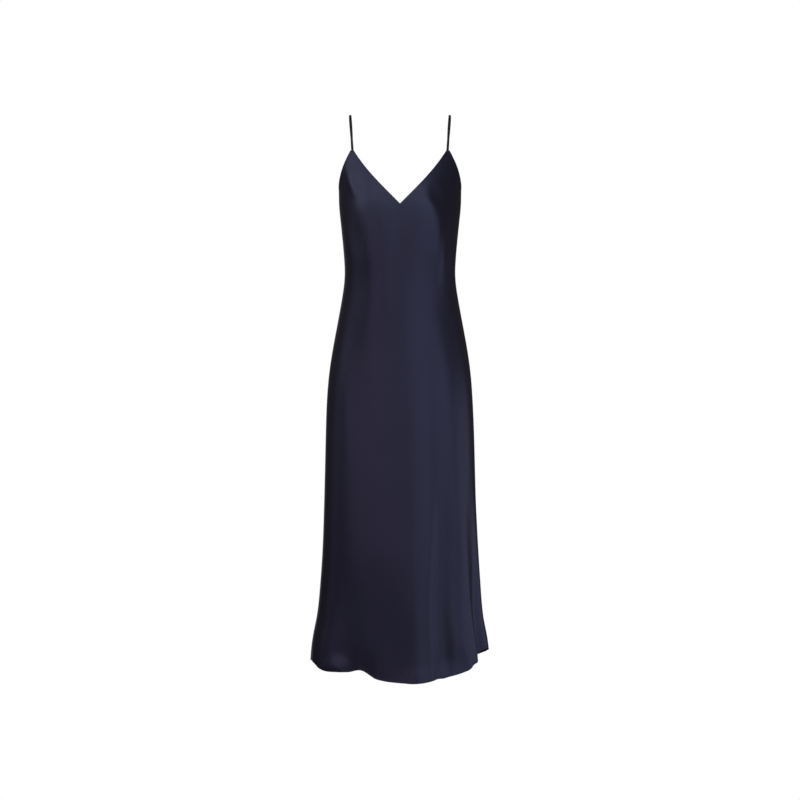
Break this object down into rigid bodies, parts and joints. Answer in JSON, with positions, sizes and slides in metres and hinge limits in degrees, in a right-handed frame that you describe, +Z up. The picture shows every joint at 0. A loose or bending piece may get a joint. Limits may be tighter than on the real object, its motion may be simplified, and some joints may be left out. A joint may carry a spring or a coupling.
{
  "type": "slip dress",
  "caption": "Hollow worn slip dress with a V neck, thin shoulder straps, a low scooped back and a long skirt that flutes softly at the hem.",
  "frame": {"origin": "midway between the two straps, at the level where their undersides cross the shoulders", "axes": "+Z up, -Y the dress's front, +X towards the wearer's left side"},
  "size_m": [0.3961, 0.3168, 1.2211],
  "materials": {
    "dress_satin": "dark navy satin, smooth and softly glossy",
    "strap_satin": "narrow turned tube of the same dark navy satin"
  },
  "bodies": {
    "root": {"front": "dress_satin", "back": "dress_satin", "strap_left": "strap_satin", "strap_right": "strap_satin"}
  },
  "joints": []
}
